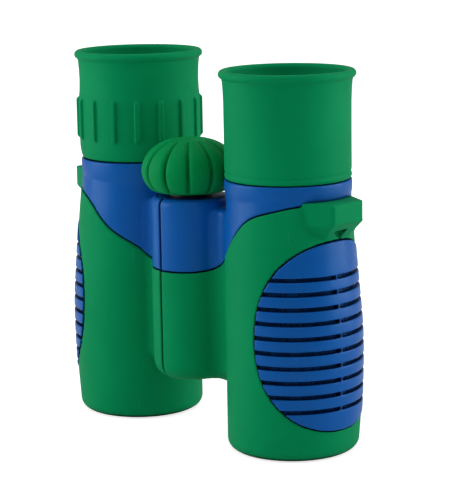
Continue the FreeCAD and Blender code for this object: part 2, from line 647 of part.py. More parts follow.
# ---------------------------------------------------------------- export
for name, shape in pieces.items():
    if name != "hinge_washers":      # stays a compound of two rings
        shape = clean(shape)
    shape = shape.copy()
    shape.translate(Vector(0, SHIFT_Y, 0))
    shape.exportStep("parts/%s.step" % name)
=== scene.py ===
"""Compact binoculars standing on their objective ends, eyecups up.

The optical axes run along Z and lie in the XZ plane; the right half is on +X and the left
on -X. The hinge runs along Z at x = 0, shifted towards -Y. Parts are drawn in mm with
y = 0 on the optical axes, then scaled to metres and moved onto the CAD frame by place().
"""
import bpy
import bmesh
import json
import math
import numpy as np
from mathutils import Matrix, Vector
from types import SimpleNamespace


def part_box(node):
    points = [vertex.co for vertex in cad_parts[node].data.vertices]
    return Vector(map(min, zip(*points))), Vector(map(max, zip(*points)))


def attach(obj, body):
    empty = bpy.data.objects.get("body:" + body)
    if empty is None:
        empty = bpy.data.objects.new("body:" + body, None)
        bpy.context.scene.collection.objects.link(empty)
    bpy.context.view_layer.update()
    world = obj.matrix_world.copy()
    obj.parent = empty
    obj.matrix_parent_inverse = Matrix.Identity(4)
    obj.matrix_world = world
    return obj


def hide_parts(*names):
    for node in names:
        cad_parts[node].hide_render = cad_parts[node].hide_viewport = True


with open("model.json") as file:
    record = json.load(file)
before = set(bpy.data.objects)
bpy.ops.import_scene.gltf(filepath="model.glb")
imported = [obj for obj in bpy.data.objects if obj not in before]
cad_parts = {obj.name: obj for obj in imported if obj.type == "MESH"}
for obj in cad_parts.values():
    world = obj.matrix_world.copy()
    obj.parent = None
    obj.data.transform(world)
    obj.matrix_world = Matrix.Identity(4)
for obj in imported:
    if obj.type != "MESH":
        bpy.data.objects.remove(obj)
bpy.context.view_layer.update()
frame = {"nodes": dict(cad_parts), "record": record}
NODES = frame["nodes"]
SUBPARTS = frame["record"]["subparts"]

# ------------------------------------------------------------------ sizes (mm, degrees)
AXIS_X = 62.23 / 2        # optical axis of the right half
HINGE_Y = -8.55           # hinge axis, at x = 0
ROD_MIN, ROD_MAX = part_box("focus_rod")
SHIFT_Y = (ROD_MIN[1] + ROD_MAX[1]) / 2 * 1000 - HINGE_Y   # from this drawing to the CAD frame
ARM_ANGLE = math.degrees(math.atan2(-HINGE_Y, AXIS_X))     # from the hinge to the optical axis
FOLD_ANGLE = 35.0

# barrel: (z, outermost reach from the optical axis)
BARREL_REACH = [
    (-4, 19.45), (0, 19.75), (4, 20.0), (8, 20.3), (13, 20.6), (20, 20.85),
    (28, 20.98), (36, 20.8), (43, 20.25), (50, 19.65), (57, 19.05),
    (64, 18.5), (70, 18.1), (76, 17.95), (84, 17.9)]
BARREL_INNER_REACH, BARREL_Y = 17.6, -0.55
ARMOUR_T = 1.1            # armour thickness
BODY_SINK = 0.32          # bare body below the armour's surface
SEAM_GAP = 0.20

# hinge: knuckles in a hollow, joined to the barrel by a web
HOLLOW_R, CORE_R = 9.6, 9.5
HINGE_BOTTOM, HINGE_TOP, WEB_TOP = 17.0, 70.0, 67.3
WEB_FILLET = 4.0
FOOT_INSET, FOOT_H, FOOT_BORE_R = 4.4, 4.9, 6.0
GUSSET_R, GUSSET_INSET = 4.5, 3.2
LOW_KNUCKLE, HIGH_KNUCKLE = (34.0, 38.5), (64.0, 70.0)      # z spans, right half
RING_SPAN = (19.7, LOW_KNUCKLE[0] - 0.05)                   # z spans, left half
MID_KNUCKLE = (LOW_KNUCKLE[1] + 0.55, HIGH_KNUCKLE[0] - 0.55)

# strap lug on the outer side of each barrel
LUG_X, LUG_Y0, LUG_Y1 = 54.5, -6.4, 5.4
LUG_TOP, LUG_BOTTOM, LUG_FOOT = 72.4, 66.3, 61.2
ROOT_X, ROOT_Y0, ROOT_Y1 = 46.9, -9.7, 9.2
LUG_HUB_R = 18.0          # the foot is drawn back to this radius

# grip panel on the outer side: a superellipse in angle and height
PANEL_Z, PANEL_HALF_H, PANEL_HALF_ANGLE, PANEL_POWER = 34.9, 26.4, 79.0, 2.25
GROOVE_Z = [51.6, 47.6, 43.5, 39.5, 35.4, 31.3, 27.2, 23.1, 19.0, 14.8]
GROOVE_W = 1.15

VOXEL = 0.28
SEGMENTS = 256

# What differs between the halves. hinge_cut: angles of the wedge left open for the other
# half; tunnel: z span of the slot from hinge to barrel; lift: raise of the strap lug;
# seam: (x, z) of the armour's top edge.
TOP_R, TOP_L = 76.9, 77.6
RIGHT = SimpleNamespace(
    knuckle_r=12.2, top=TOP_R, lift=0.0, hinge_cut=(72.0, 270.8), tunnel=(23.6, 30.8),
    seam=[
        (0, 49.3), (8.5, 49.32), (11.0, 49.65), (12.3, 50.15), (13.6, 50.85), (15.1, 52.0),
        (16.3, 53.2), (18.4, 54.5), (21.2, 56.15), (24.0, 58.45), (26.8, 61.5),
        (29.5, 64.35), (32.5, 66.95), (36, 68.7), (40, 69.95), (43.5, 71.0), (46.6, 71.6),
        (52, 72.0), (60, 72.2)])
LEFT = SimpleNamespace(
    knuckle_r=11.6, top=TOP_L, lift=TOP_L - TOP_R, hinge_cut=(70.0, 276.2),
    tunnel=(20.5, 27.7),
    seam=[
        (0, 49.2), (10, 49.2), (14.3, 49.2), (16.0, 49.6), (17.1, 50.5), (18.1, 51.72),
        (19.2, 53.0), (20.5, 54.15), (22.75, 55.75), (25.8, 57.95), (29.5, 61.3),
        (32.5, 64.2), (36, 66.5), (40, 67.85), (45, 68.85), (52, 69.4), (60, 69.6)])


# ------------------------------------------------------------------ curves
def spline(table, query):
    """Natural cubic through the table."""
    x, y = np.array(table, float).T
    n = len(x)
    h = np.diff(x)
    system = np.zeros((n, n))
    rhs = np.zeros(n)
    system[0, 0] = system[-1, -1] = 1
    for i in range(1, n - 1):
        system[i, i - 1:i + 2] = h[i - 1], 2 * (h[i - 1] + h[i]), h[i]
        rhs[i] = 6 * ((y[i + 1] - y[i]) / h[i] - (y[i] - y[i - 1]) / h[i - 1])
    bend = np.linalg.solve(system, rhs)
    query = np.atleast_1d(np.asarray(query, float))
    k = np.clip(np.searchsorted(x, query) - 1, 0, n - 2)
    after, before, step = x[k + 1] - query, query - x[k], h[k]
    return ((bend[k] * after ** 3 + bend[k + 1] * before ** 3) / (6 * step)
            + (y[k] / step - bend[k] * step / 6) * after
            + (y[k + 1] / step - bend[k + 1] * step / 6) * before)


def smoothstep(start, end, value):
    t = np.clip((np.asarray(value, float) - start) / (end - start), 0, 1)
    return t * t * (3 - 2 * t)


def barrel_circle(z):
    """Centre x, y and radius of the barrel's outline; its y offset fades out from z 60 to 74."""
    reach = float(spline(BARREL_REACH, z)[0])
    lean = 1.0 if z < 60 else max(0.0, 1 - (z - 60) / 14.0)
    return (AXIS_X + (reach - BARREL_INNER_REACH) / 1.44, BARREL_Y * lean,
            (reach + BARREL_INNER_REACH) / 2.0)


def levels(z0, z1, step, foot=0.0, head=0.0):
    """(z, inset) stations of a solid with quarter-round ends of radius foot and head."""
    quarter = np.linspace(0, math.pi / 2, 9)
    stations = []
    if foot:
        stations += [(z0 + foot - foot * math.cos(t), foot - foot * math.sin(t))
                     for t in quarter[:-1]]
    stations += [(z, 0.0) for z in [*np.arange(z0 + foot, z1 - head, step), z1 - head]]
    if head:
        stations += [(z1 - head + head * math.sin(t), head - head * math.cos(t))
                     for t in quarter[1:]]
    return stations


# ------------------------------------------------------------------ solids
def link(data, name):
    made = bpy.data.objects.new(name, data)
    bpy.context.scene.collection.objects.link(made)
    return made


def mesh(verts, faces):
    data = bpy.data.meshes.new("solid")
    data.from_pydata([tuple(map(float, v)) for v in verts], [], faces)
    bm = bmesh.new()
    bm.from_mesh(data)
    bmesh.ops.recalc_face_normals(bm, faces=bm.faces)
    bm.to_mesh(data)
    bm.free()
    return link(data, "solid")


def stack(rings):
    """Closed solid from a pile of rings with equal point counts."""
    n = len(rings[0])
    faces = []
    for k in range(len(rings) - 1):
        low, high = k * n, (k + 1) * n
        for i in range(n):
            j = (i + 1) % n
            faces.append((low + i, low + j, high + j, high + i))
    faces.append(tuple(range(n))[::-1])
    faces.append(tuple(range((len(rings) - 1) * n, len(rings) * n)))
    return mesh(np.concatenate(rings), faces)


def prism(outline, axis, ends):
    """Straight solid: a 2D outline in the other two axes, run along axis between the ends."""
    return stack([np.insert(np.array(outline, float), axis, end, axis=1) for end in ends])


def circle(x, y, z, r, n=SEGMENTS):
    a = np.linspace(0, 2 * np.pi, n, endpoint=False)
    return np.stack([x + r * np.cos(a), y + r * np.sin(a), np.full(n, float(z))], 1)


def axis_cylinder(r, z0, z1):
    return stack([circle(AXIS_X, 0, z, r) for z in (z0, z1)])


def hinge_cylinder(r, z0, z1):
    return stack([circle(0, HINGE_Y, z, r) for z in (z0, z1)])


def box(x0, x1, y0, y1, z0, z1):
    return prism([(x0, y0), (x1, y0), (x1, y1), (x0, y1)], 2, (z0, z1))


def wedge(start, end, z0, z1, r):
    """Sector of radius r about the hinge axis, between two angles."""
    n = int((end - start) / 5) + 2
    angles = [math.radians(start + (end - start) * i / (n - 1)) for i in range(n)]
    rim = [(r * math.cos(a), HINGE_Y + r * math.sin(a)) for a in angles]
    return prism([(0, HINGE_Y)] + rim, 2, (z0, z1))


def barrel(offset, z0, z1, foot=0.0):
    """Barrel solid, grown by offset, with an optional rounded foot."""
    rings = []
    for z, inset in levels(z0, z1, 0.9, foot=foot):
        x, y, r = barrel_circle(z)
        rings.append(circle(x, y, z, r + offset - inset))
    return stack(rings)


def barrel_core():
    return barrel(-ARMOUR_T, 1.0, 80.0)


def arc(centre, r, start, end):
    """Points along the shorter arc from the direction of start to that of end."""
    a0 = math.atan2(start[1] - centre[1], start[0] - centre[0])
    a1 = math.atan2(end[1] - centre[1], end[0] - centre[0])
    sweep = (a1 - a0 + math.pi) % (2 * math.pi) - math.pi
    return [(centre[0] + r * math.cos(a0 + sweep * t), centre[1] + r * math.sin(a0 + sweep * t))
            for t in np.linspace(0, 1, 22)]


def web_ring(knuckle_r, inset, z):
    """Plan outline of knuckle and web at height z, moved in by inset."""
    barrel_x, barrel_y, barrel_r = barrel_circle(z)
    knuckle_r = knuckle_r - inset
    barrel_r = barrel_r - inset - 0.02
    fillet_r = WEB_FILLET + inset
    knuckle, centre = np.array([0, HINGE_Y]), np.array([barrel_x, barrel_y])
    dx, dy = barrel_x, barrel_y - HINGE_Y
    d = math.hypot(dx, dy)
    heading = math.atan2(dy, dx)
    spread = math.acos(((knuckle_r + fillet_r) ** 2 + d * d - (barrel_r + fillet_r) ** 2)
                       / (2 * (knuckle_r + fillet_r) * d))

    def fillet(angle):
        """Fillet centre and where it touches the knuckle and the barrel."""
        mid = knuckle + (knuckle_r + fillet_r) * np.array([math.cos(angle), math.sin(angle)])
        return (mid, knuckle + (mid - knuckle) * knuckle_r / (knuckle_r + fillet_r),
                centre + (mid - centre) * barrel_r / (barrel_r + fillet_r))

    mid1, on_knuckle1, on_barrel1 = fillet(heading - spread)
    mid2, on_knuckle2, on_barrel2 = fillet(heading + spread)
    points = arc(mid1, fillet_r, on_knuckle1, on_barrel1)
    points += [tuple(p + (centre - p) * 0.2) for p in (on_barrel1, on_barrel2)]
    points += arc(mid2, fillet_r, on_barrel2, on_knuckle2)
    around = np.linspace(heading + spread, heading - spread + 2 * math.pi, 122)[1:-1]
    points += [(knuckle[0] + knuckle_r * math.cos(t), knuckle[1] + knuckle_r * math.sin(t))
               for t in around]
    return np.array([(x, y, z) for x, y in points])


def bridge(knuckle_r, inset, z0, z1, head=0.0):
    """Knuckle and web, with an optional rounded head."""
    return stack([web_ring(knuckle_r, inset + d, z) for z, d in levels(z0, z1, 1.5, head=head)])


def bridge_foot(knuckle_r, top):
    """Knuckle and web with a large soft rounding at the bottom end."""
    rings = []
    for k in range(15):
        z = HINGE_BOTTOM + FOOT_H * (1 - math.cos(k / 14.0 * math.pi / 2))
        u = 1 - (z - HINGE_BOTTOM) / FOOT_H
        inset = FOOT_INSET * (1 - math.sqrt(max(0.0, 1 - u * u)))
        rings.append(web_ring(knuckle_r, inset, z))
    for z in [*np.arange(HINGE_BOTTOM + FOOT_H + 1.5, top - 0.3, 1.5), top]:
        rings.append(web_ring(knuckle_r, 0.0, z))
    return stack(rings)


def web_gusset(knuckle_r):
    """Concave fillet that carries the underside of the web down into the barrel."""
    bottom, top = HINGE_BOTTOM - GUSSET_R, HINGE_BOTTOM + 1.0
    plan = stack([web_ring(knuckle_r, GUSSET_INSET, z) for z in (bottom, top)])
    rings = []
    for k in range(13):
        z = bottom + GUSSET_R * k / 12.0
        x, y, r = barrel_circle(z)
        rise = z - HINGE_BOTTOM + GUSSET_R
        flare = GUSSET_R - math.sqrt(max(0.0, GUSSET_R * GUSSET_R - rise ** 2))
        rings.append(circle(x, y, z, r - 0.3 + flare))
    x, y, r = barrel_circle(top)
    rings.append(circle(x, y, top, r + GUSSET_R - 0.3))
    return common(plan, stack(rings))


def below_seam(seam, raised):
    """Everything below the seam curve, raised by the given height."""
    flat = seam[0][1]
    xs = np.linspace(0, 60, 240)
    zs = spline([(-30, flat), (-10, flat)] + seam, xs) + raised
    profile = [(-60, flat + raised), *zip(xs, zs), (60, -20), (-60, -20)]
    return prism(profile, 1, (-60.0, 60.0))


def panel_cutter(grow):
    """Outline of the grip panel, fanned out sideways from near the optical axis."""
    half_h = PANEL_HALF_H + grow
    half_angle = math.radians(PANEL_HALF_ANGLE) + grow / 19.3
    count = 120
    rings = []
    for reach in (1.2, 26.0):
        points = []
        for i in range(count):
            t = 2 * math.pi * i / count
            c, s = math.cos(t), math.sin(t)
            a = half_angle * math.copysign(abs(c) ** (2 / PANEL_POWER), c)
            z = PANEL_Z + half_h * math.copysign(abs(s) ** (2 / PANEL_POWER), s)
            points.append((AXIS_X + 1.9 + reach, -0.5 + reach * math.tan(a), z))
        rings.append(np.array(points))
    return stack(rings)


# ------------------------------------------------------------------ booleans and finishing
def bake(target):
    """Replaces the object's mesh by its modified result."""
    bpy.context.view_layer.update()
    graph = bpy.context.evaluated_depsgraph_get()
    data = bpy.data.meshes.new_from_object(target.evaluated_get(graph))
    target.modifiers.clear()
    old = target.data
    target.data = data
    bpy.data.meshes.remove(old)


def combine(target, tools, operation):
    """Applies the tools to the target one by one and uses them up."""
    for tool in tools:
        boolean = target.modifiers.new("boolean", 'BOOLEAN')
        boolean.operation = operation
        boolean.solver = 'MANIFOLD'
        boolean.object = tool
        bake(target)
        bpy.data.objects.remove(tool)
    return target


def fuse(target, *tools):
    return combine(target, tools, 'UNION')


def cut(target, *tools):
    return combine(target, tools, 'DIFFERENCE')


def common(target, *tools):
    return combine(target, tools, 'INTERSECT')


def soften(target, voxel, iterations, ratio=0.4):
    """Turns a sharp boolean solid into a moulded one: even mesh, rounded edges."""
    remesh = target.modifiers.new("remesh", 'REMESH')
    remesh.mode = 'VOXEL'
    remesh.voxel_size = voxel
    remesh.adaptivity = 0.0
    smooth = target.modifiers.new("smooth", 'SMOOTH')
    smooth.factor = 0.5
    smooth.iterations = iterations
    target.modifiers.new("decimate", 'DECIMATE').ratio = ratio
    bake(target)


def place(part, name, node_name, body, finish, flip=False, smooth=True):
    """Final step: mm to metres, optional mirror to -X, material, ride on its body."""
    scale = Matrix.Diagonal((-0.001 if flip else 0.001, 0.001, 0.001, 1))
    part.data.transform(scale @ Matrix.Translation((0, SHIFT_Y, 0)))
    if flip:
        part.data.flip_normals()
    part.name = name
    part.data.name = name
    if smooth:
        part.data.shade_smooth()
    else:
        part.data.shade_flat()
    part.data.materials.clear()
    part.data.materials.append(MATERIALS[finish])
    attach(part, body)
    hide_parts(node_name)


# ------------------------------------------------------------------ materials
def empty_tree(owner):
    owner.use_nodes = True
    owner.node_tree.nodes.clear()
    return owner.node_tree


def node(tree, kind, inputs=None, **settings):
    """Adds a shader node; an input given as a socket is linked, otherwise set."""
    made = tree.nodes.new('ShaderNode' + kind)
    for key, value in settings.items():
        setattr(made, key, value)
    for key, value in (inputs or {}).items():
        if isinstance(value, bpy.types.NodeSocket):
            tree.links.new(value, made.inputs[key])
        else:
            made.inputs[key].default_value = value
    return made


def map_range(tree, source, from_min, from_max, to_min=0.0, to_max=1.0):
    return node(tree, 'MapRange', {
        'Value': source, 'From Min': from_min, 'From Max': from_max,
        'To Min': to_min, 'To Max': to_max}).outputs[0]


def material(name, colour, rough, specular=0.5, tint=(1, 1, 1), metal=0.0, coat=0.0,
             coat_rough=0.1, transmission=0.0, ior=1.45, bump=0.02, bump_scale=2500.0,
             value_spread=0.06, rough_spread=0.05, edge=0.0, painted_shade_power=0.0, painted_shade_reach=0.002):
    """Principled surface with mottled value and roughness and a fine bump.

    edge lightens convex edges; the painted shade in recesses, grooves and gaps (ambient
    occlusion darkening colour and specular) has the given power and reach.
    """
    mat = bpy.data.materials.new(name)
    tree = empty_tree(mat)
    coords = node(tree, 'TexCoord').outputs['Object']

    def noise(scale, detail, **more):
        return node(tree, 'TexNoise', {
            'Vector': coords, 'Scale': scale, 'Detail': detail, **more}).outputs[0]

    def mottle(source, middle, spread):
        return map_range(tree, source, 0.3, 0.7, middle - spread, middle + spread)

    broad = noise(55.0, 3.0)
    fine = noise(bump_scale, 4.0, Roughness=0.6)
    shade = node(tree, 'HueSaturation', {
        'Color': (*colour, 1), 'Value': mottle(broad, 1, value_spread)}).outputs[0]
    if edge > 0:
        pointiness = node(tree, 'NewGeometry').outputs['Pointiness']
        lighter = (*[c * 1.5 + 0.03 for c in colour], 1)
        shade = node(tree, 'Mix', {
            'Factor': map_range(tree, pointiness, 0.515, 0.60, to_max=edge),
            'A': shade, 'B': lighter}, data_type='RGBA').outputs['Result']
    # painted shade: ambient occlusion mixes the colour towards near black in recesses, grooves
    # and gaps
    if painted_shade_power > 0:
        occlusion = node(tree, 'AmbientOcclusion', {'Distance': painted_shade_reach}, samples=12)
        openness = node(tree, 'Math', {
            0: map_range(tree, occlusion.outputs['AO'], 0.18, 0.78),
            1: painted_shade_power}, operation='POWER').outputs[0]
        painted_shade_colour = (*[c * 0.02 for c in colour], 1)
        shade = node(tree, 'Mix', {
            'Factor': openness, 'A': painted_shade_colour, 'B': shade}, data_type='RGBA').outputs['Result']
    relief = node(tree, 'Bump', {'Strength': bump, 'Distance': 0.0002, 'Height': fine})
    surface = node(tree, 'BsdfPrincipled', {
        'Base Color': shade, 'Roughness': mottle(noise(260.0, 5.0), rough, rough_spread),
        'Normal': relief.outputs[0], 'Metallic': metal, 'Specular IOR Level': specular,
        'Specular Tint': (*tint, 1), 'Coat Weight': coat, 'Coat Roughness': coat_rough,
        'Transmission Weight': transmission, 'IOR': ior})
    # painted shade: the same occlusion also dims the specular in recesses
    if painted_shade_power > 0:
        painted_shade_specular = node(tree, 'Math', {0: openness, 1: specular}, operation='MULTIPLY')
        tree.links.new(painted_shade_specular.outputs[0], surface.inputs['Specular IOR Level'])
    node(tree, 'OutputMaterial', {0: surface.outputs[0]})
    return mat


GREEN, BLUE = (0.0012, 0.262, 0.090), (0.0012, 0.098, 0.40)
WHEEL_GREEN = (0.0012, 0.255, 0.066)
RUBBER = dict(specular=0.11, tint=(0.12, 1.0, 0.78), bump=0.10, value_spread=0.05)
PLASTIC = dict(tint=(0.45, 0.70, 1.0), bump=0.03, bump_scale=3000, value_spread=0.04)

# keyed by CAD material slot, with "wheel" and "grip" for two parts of their own
# the rubber and blue finishes get painted shade in their recesses; the grip's is strongest,
# painting its grooves near black
MATERIALS = {
    "armour": material("armour_rubber", GREEN, rough=0.56, bump_scale=5200, edge=0.12,
                       painted_shade_power=1.2, **RUBBER),
    "soft_rubber": material("eyecup_rubber", GREEN, rough=0.60, bump_scale=6000, edge=0.10,
                            painted_shade_power=1.0, **RUBBER),
    "wheel": material("wheel_rubber", WHEEL_GREEN, rough=0.56, bump_scale=5200, edge=0.10,
                      painted_shade_power=1.2, **RUBBER),
    "body_plastic": material("body_blue", BLUE, rough=0.33, specular=0.30, edge=0.15,
                             painted_shade_power=1.4, **PLASTIC),
    "grip": material("grip_blue", BLUE, rough=0.32, specular=0.32, edge=0.12,
                     painted_shade_power=2.2, painted_shade_reach=0.0026, **PLASTIC),
    "black_plastic": material("black_plastic", (0.010, 0.010, 0.011), rough=0.55,
                              specular=0.22, bump=0.08, value_spread=0.1),
    "black_metal": material("black_metal", (0.02, 0.02, 0.021), rough=0.4, metal=0.6,
                            bump=0.05, value_spread=0.1),
    "steel": material("steel", (0.55, 0.55, 0.56), rough=0.28, metal=1.0, bump=0.05),
    "nylon": material("nylon", (0.020, 0.020, 0.021), rough=0.5, specular=0.22, bump=0.05,
                      value_spread=0.05),
    "optical_glass": material("coated_glass", (0.55, 0.62, 0.75), rough=0.03,
                              rough_spread=0.01, bump=0.0, value_spread=0.02,
                              transmission=1.0, ior=1.52, coat=0.3, coat_rough=0.02),
}
for part in SUBPARTS:
    slots = NODES[part["node"]].data.materials
    slots.clear()
    slots.append(MATERIALS[part["material_slot"]])


# ------------------------------------------------------------------ armour and body shells
def collar(top):
    """Neck of the barrel under the eyecup."""
    profile = [  # (radius, z)
        (17.5, 71.8), (17.62, 72.6), (17.78, 73.5), (17.86, 74.5), (17.89, 75.5),
        (17.9, top - 0.4), (17.82, top - 0.12), (17.6, top)]
    return stack([circle(AXIS_X, 0, z, r) for r, z in profile])


def lug_ring(z, full):
    """Lug outline at height z; full = 1 is full size, 0 is drawn back inside the barrel wall."""
    def drawn(x, y):
        r = math.hypot(x - AXIS_X, y)
        f = (LUG_HUB_R + (r - LUG_HUB_R) * full) / r
        return (AXIS_X + (x - AXIS_X) * f, y * f, z)
    points = [(ROOT_X - 0.15, ROOT_Y0 + 0.05, z), drawn(LUG_X, LUG_Y0), drawn(LUG_X, LUG_Y1),
              (ROOT_X - 0.1, ROOT_Y1 - 0.1, z)]
    for angle in (28.0, 14.0, 0.0, -14.0, -28.0):
        a = math.radians(angle)
        points.append((AXIS_X + 17.35 * math.cos(a), 17.35 * math.sin(a), z))
    return np.array(points)


def strap_lug(lift):
    """Block with rounded outer edges on a foot that slopes back into the barrel."""
    lug = stack([lug_ring(LUG_BOTTOM + lift, 1.0), lug_ring(LUG_TOP + lift, 1.0)])
    bm = bmesh.new()
    bm.from_mesh(lug.data)
    outer = [e for e in bm.edges if min(v.co.x for v in e.verts) > LUG_X - 0.01]
    bmesh.ops.bevel(bm, geom=outer, offset=0.8, segments=4, affect='EDGES', profile=0.5)
    bm.to_mesh(lug.data)
    bm.free()
    foot = stack([lug_ring(LUG_FOOT + lift, 0.0), lug_ring(LUG_BOTTOM + 0.6 + lift, 1.0)])
    return fuse(lug, foot)


def eyelet(lift):
    """Cord hole: a tunnel along Y with a three-cornered mouth in the sloping underside."""
    hole = [(x, z + lift) for x, z in ((49.9, 65.6), (52.6, 65.6), (50.1, 63.2))]
    mouth = [(y, z + lift) for y, z in ((-3.9, 64.5), (1.4, 64.7), (1.5, 61.5))]
    return fuse(prism(hole, 1, (-2.4, 12.0)), prism(mouth, 0, (49.0, 55.2)))


def arm_tunnel(side):
    """Slot that runs from the hinge axis towards the optical axis."""
    slot = box(0, 26, HINGE_Y - 2.6, HINGE_Y + 2.6, *side.tunnel)
    slot.data.transform(Matrix.Translation((0, HINGE_Y, 0))
                        @ Matrix.Rotation(math.radians(ARM_ANGLE), 4, 'Z')
                        @ Matrix.Translation((0, -HINGE_Y, 0)))
    return slot


def hinge_wedge(side):
    """Full-height wedge that takes away the other half's share of the hinge."""
    return wedge(*side.hinge_cut, -5, 95, 16.0)


def armour(side):
    shell = barrel(0.0, 0.0, 80.0, foot=2.8)
    shell = fuse(shell, bridge_foot(side.knuckle_r, 62.0), web_gusset(side.knuckle_r))
    lug_room = box(AXIS_X + 5, AXIS_X + 30, ROOT_Y0 - 0.05, ROOT_Y1, 60, LUG_TOP + side.lift)
    shell = common(shell, fuse(below_seam(side.seam, -SEAM_GAP), lug_room))
    shell = fuse(shell, strap_lug(side.lift))
    inside = fuse(barrel_core(), bridge(side.knuckle_r, ARMOUR_T, HINGE_BOTTOM + FOOT_H, 68.0))
    return cut(shell, inside, axis_cylinder(13.8, -5, 3), eyelet(side.lift),
               panel_cutter(0.34), hinge_cylinder(HOLLOW_R, 19.6, 60),
               hinge_cylinder(FOOT_BORE_R, 0, 60), arm_tunnel(side), hinge_wedge(side))


def body(side):
    """Core under the armour, bare upper part above the seam, and collar."""
    web = bridge(side.knuckle_r, 0.12, 30.0, WEB_TOP, head=1.6)
    knuckle = stack([circle(0, HINGE_Y, z, side.knuckle_r - 0.12 - inset)
                     for z, inset in levels(30.0, HINGE_TOP, 2.0, head=2.0)])
    lug_room = box(AXIS_X + 5, AXIS_X + 32, ROOT_Y0 - 0.05 - SEAM_GAP, ROOT_Y1 + SEAM_GAP,
                   58, LUG_TOP + side.lift + SEAM_GAP)
    upper = fuse(barrel(-BODY_SINK, 40.0, 73.4), web, knuckle)
    upper = cut(upper, below_seam(side.seam, SEAM_GAP), lug_room)
    lower = common(barrel_core(), box(-60, 80, -60, 60, 0, 73.3))
    lower = fuse(lower, bridge(side.knuckle_r, ARMOUR_T, HINGE_BOTTOM + FOOT_H, WEB_TOP - 2.0))
    return fuse(lower, upper, collar(side.top))


def cut_bores(shell):
    return cut(shell, axis_cylinder(15.0, -5, 90), axis_cylinder(15.5, -5, 3.2))


def right_body():
    """Two knuckles, low and high on the hinge."""
    shell = cut(body(RIGHT), hinge_cylinder(HOLLOW_R, 0, LOW_KNUCKLE[0]),
                hinge_cylinder(HOLLOW_R, LOW_KNUCKLE[1], HIGH_KNUCKLE[0]))
    shell = fuse(shell, hinge_cylinder(CORE_R, *LOW_KNUCKLE),
                 hinge_cylinder(CORE_R, HIGH_KNUCKLE[0], HIGH_KNUCKLE[1] - 0.03))
    opening = cut(hinge_wedge(RIGHT), hinge_cylinder(CORE_R, *LOW_KNUCKLE),
                  hinge_cylinder(CORE_R, *HIGH_KNUCKLE))
    return cut(cut_bores(shell), opening, hinge_cylinder(4.0, 0, 90), arm_tunnel(RIGHT))


def left_body():
    """A hollow ring at the bottom and one knuckle above it, tied to the web by a curved wall."""
    shell = cut(body(LEFT), hinge_cylinder(HOLLOW_R, 0, 90))
    ring = cut(hinge_cylinder(CORE_R, *RING_SPAN), hinge_cylinder(8.2, 10, 40))
    tie = cut(wedge(-85.0, 68.0, RING_SPAN[0], MID_KNUCKLE[1], 10.4),
              hinge_cylinder(9.0, 0, 90),
              hinge_cylinder(HOLLOW_R, RING_SPAN[1], MID_KNUCKLE[0]))
    shell = cut_bores(fuse(shell, hinge_cylinder(CORE_R, *MID_KNUCKLE), ring, tie))
    opening = cut(hinge_wedge(LEFT), hinge_cylinder(CORE_R, *RING_SPAN),
                  hinge_cylinder(CORE_R, *MID_KNUCKLE))
    # window in the ring, wide enough for the fold
    window = cut(wedge(180 - ARM_ANGLE - FOLD_ANGLE - 24, 180 - ARM_ANGLE + 24,
                       23.3, 31.1, CORE_R + 2.0), hinge_cylinder(7.9, 20, 40))
    return cut(shell, opening, hinge_cylinder(4.05, 0, 90), arm_tunnel(LEFT), window)


def grip_panel():
    """Side panel with level grooves, each broken by a thin rib."""
    panel = cut(common(barrel(0.32, 3.0, 66.0), panel_cutter(0.0)), barrel_core())
    for z in GROOVE_Z:
        groove = box(AXIS_X, AXIS_X + 32, -30, 30, z - GROOVE_W / 2, z + GROOVE_W / 2)
        rib = box(AXIS_X + 10, AXIS_X + 40, -1.95, -1.6, z - 2, z + 2)
        panel = cut(panel, cut(groove, barrel(-0.95, z - 3, z + 3), rib))
    soften(panel, VOXEL * 0.8, 4)
    return panel


# the left parts are drawn on +X and mirrored when placed
armour_right = armour(RIGHT)
body_right = right_body()
armour_left = armour(LEFT)
body_left = left_body()
for shell in (armour_right, armour_left):
    soften(shell, VOXEL, 5)
for shell in (body_right, body_left):
    soften(shell, VOXEL * 1.1, 3, ratio=0.3)
grip_right = grip_panel()
grip_left = link(grip_right.data.copy(), "solid")

place(armour_right, "armour_right_look", "armour_right", "right_half", "armour")
place(armour_left, "armour_left_look", "armour_left", "left_half", "armour", flip=True)
place(body_right, "housing_right_look", "housing_right", "right_half", "body_plastic")
place(body_left, "housing_left_look", "housing_left", "left_half", "body_plastic", flip=True)
place(grip_right, "grip_right_look", "grip_panel_right", "right_half", "grip")
place(grip_left, "grip_left_look", "grip_panel_left", "left_half", "grip", flip=True)

# end cap under the hinge: a domed disc with a slot, inside both feet
CAP_PROFILE = [  # (radius, z)
    (4.3, 17.25), (4.9, 17.3), (5.3, 17.42), (5.58, 17.62), (5.76, 17.9), (5.84, 18.2),
    (5.85, 18.42)]
cap = stack([circle(0, HINGE_Y, z, r, 128) for r, z in CAP_PROFILE])
cap = cut(cap, box(-3.5, 3.5, HINGE_Y - 0.5, HINGE_Y + 0.5, 17.0, 17.75))
place(cap, "hinge_cap_look", "hinge_end_cap", "right_half", "black_plastic", smooth=False)


# ------------------------------------------------------------------ lathe work
def resample(corners, step):
    """Rounds a closed (radius, z) polyline into a smooth curve of even points."""
    corners = np.array(corners, float)
    points = []
    for a, b in zip(corners, np.roll(corners, -1, 0)):
        n = max(1, int(math.ceil(np.hypot(*(b - a)) / step)))
        points += [a + (b - a) * k / n for k in range(n)]
    points = np.array(points)
    for _ in range(3):
        points = 0.25 * np.roll(points, 1, 0) + 0.5 * points + 0.25 * np.roll(points, -1, 0)
    return points


